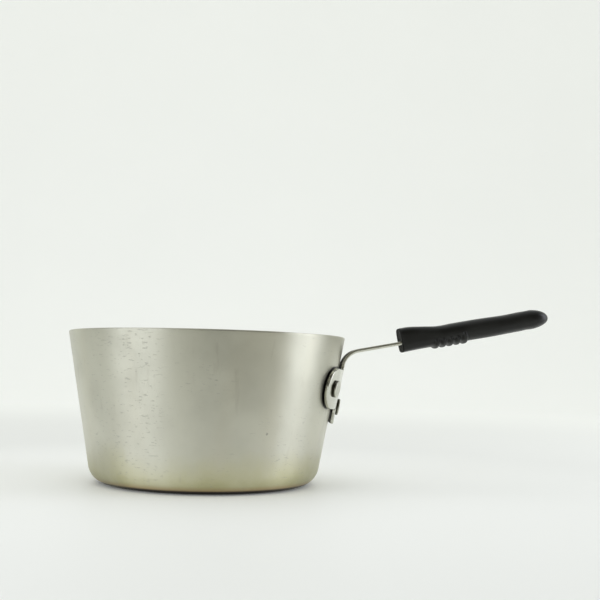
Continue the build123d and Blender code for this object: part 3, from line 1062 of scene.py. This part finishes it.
def foot_layers(tree, place, straw, handle):
    """Layers of colour on the outside near the foot: a straw film that heating leaves up the wall,
    olive below it and rust at the foot's edge; then painted shade, near black under the base's outer
    part, up the foot's lowest few millimetres and behind the bracket; and a painted dark reflection,
    olive, on the lower wall's left and right as the camera sees them. Also gives the straw film's own
    mask."""
    height = split(tree, place)[2]
    wander = noise(tree, place, 24.0, 5.0)
    level = calc(tree, "ADD", height, spread(tree, wander, 0.3, 0.7, 0.006, -0.006))
    film = spread(tree, level, 0.006, 0.034, 0.72, 0.0)
    low_film = spread(tree, level, -0.002, 0.017, 0.9, 0.0)
    edge_film = spread(tree, height, 0.0025, 0.0075, 0.8, 0.0)
    flat = vector(tree, "MULTIPLY", place, LEVEL_PART)
    # Painted contact shadow: near black under the base's outer part and up the foot's lowest few millimetres,
    # joined with the painted shade behind the bracket.
    outer = spread(tree, vector(tree, "LENGTH", flat), 0.045, 0.074, 0.35, 1.0)
    under = spread(tree, height, 0.0023, 0.0040, 0.97, 0.0)
    painted_foot_and_crevice_shade = calc(tree, "MAXIMUM", calc(tree, "MULTIPLY", outer, under), painted_crevice_shade(tree, place, handle))
    # Painted dark reflection: the lower wall, up to about 5 cm, made darker and olive on its left and right
    # as the camera sees them.
    sideways = split(tree, vector(tree, "NORMALIZE", flat))[0]
    sideways = calc(tree, "ABSOLUTE", calc(tree, "SUBTRACT", sideways, 0.08))
    painted_side_reflection = spread(tree, height, 0.006, 0.048, 0.46, 0.0)
    painted_side_reflection = calc(tree, "MULTIPLY", painted_side_reflection, spread(tree, sideways, 0.56, 0.90))
    layers = (
        (film, 1.0, straw),
        (low_film, 1.0, toned(straw, 0.74, 0.74, 0.66)),
        (edge_film, 1.0, toned(straw, 0.75, 0.55, 0.48)),
        # The last two layers are painted shade and a painted dark reflection.
        (painted_foot_and_crevice_shade, 1.0, (0.014, 0.012, 0.009)),
        (painted_side_reflection, 1.0, (0.16, 0.152, 0.088)),
    )
    return layers, film


def spun_outside(finishes, handle):
    """Satin aluminium, spun round the pan's axis: fine lines that stretch the reflections up and
    down, short dents along them in clusters and on the knocked side, small pits, faint upright
    streaks, runs and warm bands, and near the foot, where it shines less, films from heating with
    painted shade along the foot and behind the bracket and a painted dark reflection on two sides."""
    material, tree, shader = new_material("spun_outside")
    place = object_place(tree)
    fine = lines(tree, 5.0, 2600.0, 0.5, 0.2)["Value"]
    dents = lines(tree, 21.0, 780.0, 0.625, 0.05)["Mask"]
    cluster = patches(tree, 19.0, 0.50, 0.66)
    cloud = patches(tree, 26.0, 0.35, 0.7)
    runs = patches(tree, 130.0, 0.60, 0.70, stretch=(1.0, 1.0, 0.08))
    streaks = patches(tree, 95.0, 0.3, 0.7, detail=2.0, stretch=(1.0, 1.0, 0.05))
    bands = patches(tree, 24.0, 0.42, 0.68, detail=2.0, stretch=(1.0, 1.0, 0.06))
    pitted = use(tree, pits, {"Scale": 62.0, "Size": 0.11, "Share": 0.34})["Mask"]
    bearing = vector(tree, "NORMALIZE", vector(tree, "MULTIPLY", place, LEVEL_PART))
    knocked = vector(tree, "DOT_PRODUCT", bearing, KNOCKED_SIDE)
    clustered = calc(tree, "MAXIMUM", cluster, spread(tree, knocked, 0.90, 0.985, 0.0, 0.9))
    dented = calc(tree, "MULTIPLY", dents, clustered)
    clean = tuple(finishes.aluminium)
    heat_films_and_painted_shade, film = foot_layers(tree, place, tuple(finishes.heat_tint), handle)
    colour = layered(
        tree,
        clean,
        (cloud, 1.0, toned(clean, 0.965)),
        (bands, 0.30, toned(clean, 0.95, 0.90, 0.83)),
        # Films from heating, then painted shade at the foot and behind the bracket and a painted dark
        # reflection on two sides.
        *heat_films_and_painted_shade,
        (dented, 0.34, (0.30, 0.30, 0.27)),
        (runs, 0.14, (0.36, 0.33, 0.26)),
        (pitted, 0.85, (0.05, 0.045, 0.035)),
    )
    rough = calc(tree, "ADD", spread(tree, cloud, 0.0, 1.0, 0.45, 0.52), calc(tree, "MULTIPLY", film, 0.05))
    bare = spread(tree, split(tree, place)[2], 0.0, 0.12, 0.40, 1.0)
    normal = bumped(
        tree,
        (fine, 0.25, 0.00003),
        (streaks, 0.5, 0.00004),
        (dented, 0.8, -0.00014),
        (pitted, 0.8, -0.0002),
    )
    feed(tree, shader, {"Base Color": colour, "Roughness": rough, "Metallic": bare, "Normal": normal})
    tangent = node(tree, "ShaderNodeTangent", direction_type="RADIAL", axis="Z").outputs[0]
    feed(tree, shader, {"Anisotropic": 0.9, "Anisotropic Rotation": 0.25, "Tangent": tangent})
    return material


def used_inside(finishes):
    """Aluminium dulled by use: spun rings, a matt film in patches, and fine scratches."""
    material, tree, shader = new_material("used_inside")
    rings = lines(tree, 1.5, 700.0, 0.45, 0.25)["Value"]
    scratch = lines(tree, 20.0, 900.0, 0.70, 0.04)["Mask"]
    cloud = patches(tree, 18.0, 0.35, 0.68)
    film = patches(tree, 60.0, 0.5, 0.75)
    clean = tuple(finishes.inside)
    colour = layered(
        tree,
        clean,
        (cloud, 1.0, toned(clean, 0.88)),
        (film, 0.35, (0.50, 0.46, 0.37)),
        (scratch, 0.3, (0.72, 0.72, 0.70)),
    )
    rough = spread(tree, cloud, 0.0, 1.0, 0.36, 0.48)
    normal = bumped(tree, (rings, 0.3, 0.00008))
    feed(tree, shader, {"Base Color": colour, "Roughness": rough, "Metallic": 0.85, "Normal": normal})
    return material


def plated_steel(finishes, pan, handle):
    """Dulled plating: nearly a mirror, with a fine grain, handling marks and small scuffs. The cut
    edge is torn dark in places above and below the wings' middle, which also paints the dark
    reflection that edge shows there, and painted shade darkens the side towards the wall and all
    that lies close to the wall."""
    material, tree, shader = new_material("plated_steel")
    cloud = patches(tree, 90.0, 0.35, 0.7)
    grain = patches(tree, 1400.0, 0.3, 0.7, detail=2.0, stretch=(0.1, 1.0, 0.1))
    scuff = patches(tree, 420.0, 0.62, 0.72, stretch=(0.25, 1.0, 1.0))
    torn = patches(tree, 420.0, 0.42, 0.56, detail=3.0)
    gap, facing = from_wall(tree, pan)
    # Painted shade: the side facing the wall, and all within a few millimetres of the wall, darkened for the
    # shaded gap.
    back = calc(tree, "MULTIPLY", spread(tree, gap, 0.007, 0.020, 1.0, 0.0), spread(tree, facing, 0.0, 0.6))
    painted_gap_shade = calc(tree, "MAXIMUM", back, spread(tree, gap, 0.0012, 0.0026, 0.9, 0.0))
    # Torn cut edge near the wings' height, dark in patches, which also stands for the dark reflection in that
    # edge.
    edge = spread(tree, calc(tree, "ABSOLUTE", facing), 0.30, 0.62, 0.85, 0.0)
    off = calc(tree, "SUBTRACT", split(tree, object_place(tree))[2], handle.wing_height + 0.006)
    beside = spread(tree, calc(tree, "ABSOLUTE", off), 0.007, 0.010, 1.0, 0.0)
    torn_edge_and_painted_reflection = calc(tree, "MULTIPLY", calc(tree, "MULTIPLY", edge, torn), beside)
    bright = tuple(finishes.plating)
    colour = layered(
        tree,
        bright,
        (cloud, 1.0, toned(bright, 0.9)),
        (scuff, 0.25, (0.30, 0.29, 0.26)),
        (torn_edge_and_painted_reflection, 1.0, (0.10, 0.10, 0.09)),
        (painted_gap_shade, 1.0, (0.022, 0.020, 0.015)),
    )
    rough = calc(tree, "ADD", spread(tree, cloud, 0.0, 1.0, 0.13, 0.22), calc(tree, "MULTIPLY", painted_gap_shade, 0.4))
    normal = bumped(tree, (grain, 0.12, 0.00002))
    feed(tree, shader, {"Base Color": colour, "Roughness": rough, "Metallic": 1.0, "Normal": normal})
    return material


def rivet_aluminium(finishes, pan):
    """Pressed aluminium: a satin face with faint peening and a darker film in patches, and a
    near-black band round the outer heads' sides, where they meet the bracket, which is partly
    grime and partly painted shade and dark reflection."""
    material, tree, shader = new_material("rivet_aluminium")
    cloud = patches(tree, 260.0, 0.4, 0.7)
    peen = patches(tree, 420.0, 0.3, 0.7, detail=1.0)
    gap = from_wall(tree, pan)[0]
    # Partly grime, partly painted shade and dark reflection: a near-black band on the head's side, strongest
    # from about 3 to 5 mm off the wall.
    grime_and_painted_shade = calc(tree, "MULTIPLY", spread(tree, gap, 0.0052, 0.0066, 1.0, 0.0), spread(tree, gap, 0.0, 0.003))
    clean = tuple(finishes.rivet)
    film = (cloud, 1.0, toned(clean, 0.86))
    colour = layered(tree, clean, film, (grime_and_painted_shade, 1.0, (0.045, 0.042, 0.030)))
    rough = spread(tree, cloud, 0.0, 1.0, 0.34, 0.46)
    normal = bumped(tree, (peen, 0.2, 0.00006))
    feed(tree, shader, {"Base Color": colour, "Roughness": rough, "Metallic": 1.0, "Normal": normal})
    return material


def spacer_steel(finishes):
    """Dark dull steel, darker again in patches."""
    material, tree, shader = new_material("spacer_steel")
    film = patches(tree, 300.0, 0.35, 0.65)
    base = tuple(finishes.spacer)
    colour = layered(tree, base, (film, 1.0, toned(base, 0.5)))
    rough = spread(tree, film, 0.0, 1.0, 0.42, 0.6)
    feed(tree, shader, {"Base Color": colour, "Roughness": rough, "Metallic": 1.0})
    return material


def moulded_silicone(finishes):
    """Matt black silicone: a fine moulded texture, patches polished by hands, a little dust, and a
    rougher front face."""
    material, tree, shader = new_material("moulded_silicone")
    worn = patches(tree, 45.0, 0.35, 0.7)
    texture = patches(tree, 2600.0, 0.3, 0.7, detail=2.0)
    dust = use(tree, pits, {"Scale": 330.0, "Size": 0.13, "Share": 0.12})["Mask"]
    black = tuple(finishes.silicone)
    polished = (worn, 1.0, toned(black, 1.7))
    colour = layered(tree, black, polished, (dust, 0.25, (0.35, 0.34, 0.31)))
    slide = Vector(GRIP_SLIDE["axis"])
    along = vector(tree, "DOT_PRODUCT", object_place(tree), slide)
    past_face = calc(tree, "SUBTRACT", along, slide.dot(GRIP_FACE))
    matt = spread(tree, past_face, 0.0004, 0.0010, 0.5, 0.0)
    rough = calc(tree, "ADD", spread(tree, worn, 0.0, 1.0, 0.34, 0.46), matt)
    normal = bumped(tree, (texture, 0.25, 0.00005))
    feed(tree, shader, {"Base Color": colour, "Roughness": rough, "Normal": normal})
    feed(tree, shader, {"Specular IOR Level": 0.33})
    return material


# --- stage ---------------------------------------------------------------------------------


def make_floor(stage):
    """A wide, faintly mottled pale table, level with the pot's base, that sweeps up far behind
    the pot: its section is a level line, an arc and an upright line, carried sideways. It gives
    off a little light round the pot and more of it far away."""
    side, level_reach, sweep, top = 5.0, 1.6, 1.4, 3.2
    bow = arc((level_reach, sweep), sweep, -pi / 2, 0, 25)
    section = np.concatenate([[(-side, 0.0), (0.0, 0.0)], bow, [(level_reach + sweep, top)]])
    left = np.column_stack([np.full(len(section), -side), section])
    right = np.column_stack([np.full(len(section), side), section])
    corners = np.stack([left, right], axis=1).reshape(-1, 3)
    floor = new_piece("floor", corners, grid_quads(len(section), 2))
    material, tree, shader = new_material("pale_table")
    place = object_place(tree)
    pale = tuple(stage.floor)
    colour = mix_colour(tree, noise(tree, place, 3.0, 3.0), pale, toned(pale, 0.97))
    distance = vector(tree, "LENGTH", place)
    behind = spread(tree, distance, 0.35, 1.7, 0.0, stage.back_glow)
    near = spread(tree, distance, 0.11, 0.45, stage.near_glow, 0.0)
    before = spread(tree, split(tree, place)[1], -0.9, -4.0, 0.0, stage.front_glow)
    glow = calc(tree, "MAXIMUM", calc(tree, "MAXIMUM", behind, near), before)
    glow_colour = (*stage.backdrop, 1.0)
    feed(tree, shader, {"Base Color": colour, "Roughness": 0.55})
    feed(tree, shader, {"Emission Color": glow_colour, "Emission Strength": glow})
    floor.data.materials.append(material)
    return floor


def make_light(name, power, size, at, toward, tint=(1.0, 1.0, 1.0)):
    """A rectangular light of a width and height, placed at a point and turned to another."""
    data = bpy.data.lights.new(name, "AREA")
    data.shape = "RECTANGLE"
    data.size, data.size_y = size
    data.energy = power
    data.color = tint
    light = bpy.data.objects.new(name, data)
    light.location = at
    light.rotation_euler = (Vector(toward) - Vector(at)).to_track_quat("-Z", "Y").to_euler()
    bpy.context.scene.collection.objects.link(light)
    return light


def make_world(stage):
    """Pale surroundings: even where the camera looks past the pot. Where the pot's metal mirrors
    them, they are darker and warmer in front, to the right, and darker overhead."""
    world = bpy.data.worlds.new("studio")
    world.use_nodes = True
    tree = world.node_tree
    tree.nodes.clear()
    seen = node(tree, "ShaderNodeBackground", {"Color": (*stage.backdrop, 1.0), "Strength": 1.0})
    direction = node(tree, "ShaderNodeTexCoord").outputs["Generated"]
    to_the_right = radians(27)
    front = Vector((sin(to_the_right), -cos(to_the_right), 0.35)).normalized()
    dark = spread(tree, vector(tree, "DOT_PRODUCT", direction, front), 0.42, 1.0)
    above = spread(tree, split(tree, direction)[2], 0.25, 0.9, 1.0, stage.top_shade)
    shade = calc(tree, "MULTIPLY", spread(tree, dark, 0.0, 1.0, 1.0, stage.front_shade), above)
    ray = node(tree, "ShaderNodeLightPath").outputs
    mirrored = ray["Is Glossy Ray"]
    shade = node(tree, "ShaderNodeMix", {0: mirrored, 2: stage.soft_light, 3: shade}).outputs[0]
    warm = calc(tree, "MULTIPLY", dark, mirrored)
    tint = mix_colour(tree, warm, (0.97, 1.0, 0.99), (1.0, 0.945, 0.765))
    strength = calc(tree, "MULTIPLY", shade, stage.surroundings)
    studio = node(tree, "ShaderNodeBackground", {"Color": tint, "Strength": strength})
    shaders = {0: ray["Is Camera Ray"], 1: studio.outputs[0], 2: seen.outputs[0]}
    either = node(tree, "ShaderNodeMixShader", shaders)
    node(tree, "ShaderNodeOutputWorld", {"Surface": either.outputs[0]})
    bpy.context.scene.world = world
    bpy.context.scene.view_settings.view_transform = "Standard"


def make_camera():
    """Level with the pot's upper wall, turned 2 degrees toward the handle, a little up and a
    little tilted."""
    turn, pitch, tilt = radians(2.0), radians(4.498), radians(1.415)
    forward = Vector((sin(turn) * cos(pitch), cos(turn) * cos(pitch), sin(pitch)))
    side = Vector((cos(turn), -sin(turn), 0))
    up = side.cross(forward)
    right = side * cos(tilt) + up * sin(tilt)
    top = up * cos(tilt) - side * sin(tilt)
    data = bpy.data.cameras.new("camera")
    data.sensor_width = 36.0
    data.lens = 55.36
    camera = bpy.data.objects.new("camera", data)
    axes = Matrix((right, top, -forward)).transposed().to_4x4()
    camera.matrix_world = Matrix.Translation((0.0473, -0.7551, 0.0896)) @ axes
    bpy.context.scene.collection.objects.link(camera)
    bpy.context.scene.camera = camera
    return camera


# --- operators -----------------------------------------------------------------------------


class POT_OT_build_pan(bpy.types.Operator):
    """Build the spun shell"""

    bl_idname = "melting_pot.build_pan"
    bl_label = "Build pan"

    def execute(self, context):
        scene = context.scene
        make_pan(scene.pot_pan, scene.pot_handle, scene.pot_finishes)
        return {"FINISHED"}


class POT_OT_build_bracket(bpy.types.Operator):
    """Build the stamped bracket with its strap and tang"""

    bl_idname = "melting_pot.build_bracket"
    bl_label = "Build bracket"

    def execute(self, context):
        scene = context.scene
        make_bracket(scene.pot_pan, scene.pot_handle, scene.pot_grip, scene.pot_finishes)
        return {"FINISHED"}


class POT_OT_build_rivets(bpy.types.Operator):
    """Build the three rivets and finish the collars behind them"""

    bl_idname = "melting_pot.build_rivets"
    bl_label = "Build rivets"

    def execute(self, context):
        scene = context.scene
        handle = scene.pot_handle
        places = {
            "left": (-handle.wing_angle, handle.wing_height),
            "right": (handle.wing_angle, handle.wing_height),
            "lower": (0.0, handle.lower_rivet),
        }
        collar = spacer_steel(scene.pot_finishes)
        for side, (turn, height) in places.items():
            make_rivet(side, turn, height, scene.pot_pan, handle, scene.pot_finishes)
            spacer = frame["nodes"]["spacer_" + side]
            spacer.data.materials.clear()
            spacer.data.materials.append(collar)
        return {"FINISHED"}


class POT_OT_build_grip(bpy.types.Operator):
    """Build the slip-on silicone sleeve"""

    bl_idname = "melting_pot.build_grip"
    bl_label = "Build grip"

    def execute(self, context):
        scene = context.scene
        make_grip(scene.pot_grip, scene.pot_handle, scene.pot_finishes)
        return {"FINISHED"}


class POT_OT_build_stage(bpy.types.Operator):
    """Set up the table, the surroundings, the lights and the camera"""

    bl_idname = "melting_pot.build_stage"
    bl_label = "Build stage"

    def execute(self, context):
        stage = context.scene.pot_stage
        make_floor(stage)
        make_world(stage)
        pot = (0, 0, 0.06)
        make_light("left_light", stage.left_light, (1.12, 1.0), (-1.12, -0.75, 0.5), pot, COOL_LIGHT)
        make_light("right_light", stage.right_light, (0.7, 1.0), (1.24, -0.03, 0.5), pot, COOL_LIGHT)
        make_light("top_light", stage.top_light, (1.4, 1.4), (-0.3, 0.4, 1.7), (0, 0.1, 0))
        make_camera()
        return {"FINISHED"}


class POT_PT_sidebar(bpy.types.Panel):
    """Lists the pot's pieces and their settings"""

    bl_idname = "POT_PT_sidebar"
    bl_label = "Melting pot"
    bl_space_type = "VIEW_3D"
    bl_region_type = "UI"
    bl_category = "Melting pot"

    def draw(self, context):
        for operator in OPERATORS:
            self.layout.operator(operator.bl_idname)
        for name, kind in SETTINGS.items():
            box = self.layout.box()
            box.label(text=kind.__doc__)
            for key in kind.__annotations__:
                box.prop(getattr(context.scene, name), key)


OPERATORS = (
    POT_OT_build_stage,
    POT_OT_build_pan,
    POT_OT_build_bracket,
    POT_OT_build_rivets,
    POT_OT_build_grip,
)
SETTINGS = {
    "pot_pan": PanSizes,
    "pot_handle": HandleSizes,
    "pot_grip": GripSizes,
    "pot_finishes": Finishes,
    "pot_stage": StageSettings,
}


def register():
    """Register every class and hang the settings on the scene."""
    for name, kind in SETTINGS.items():
        bpy.utils.register_class(kind)
        setattr(bpy.types.Scene, name, bpy.props.PointerProperty(type=kind))
    for kind in (*OPERATORS, POT_PT_sidebar):
        bpy.utils.register_class(kind)


def unregister():
    """Undo register."""
    for kind in (POT_PT_sidebar, *reversed(OPERATORS)):
        bpy.utils.unregister_class(kind)
    for name, kind in SETTINGS.items():
        delattr(bpy.types.Scene, name)
        bpy.utils.unregister_class(kind)


def main():
    """Build the stage and every piece."""
    register()
    bpy.ops.melting_pot.build_stage()
    bpy.ops.melting_pot.build_pan()
    bpy.ops.melting_pot.build_bracket()
    bpy.ops.melting_pot.build_rivets()
    bpy.ops.melting_pot.build_grip()


if __name__ == "__main__":
    main()
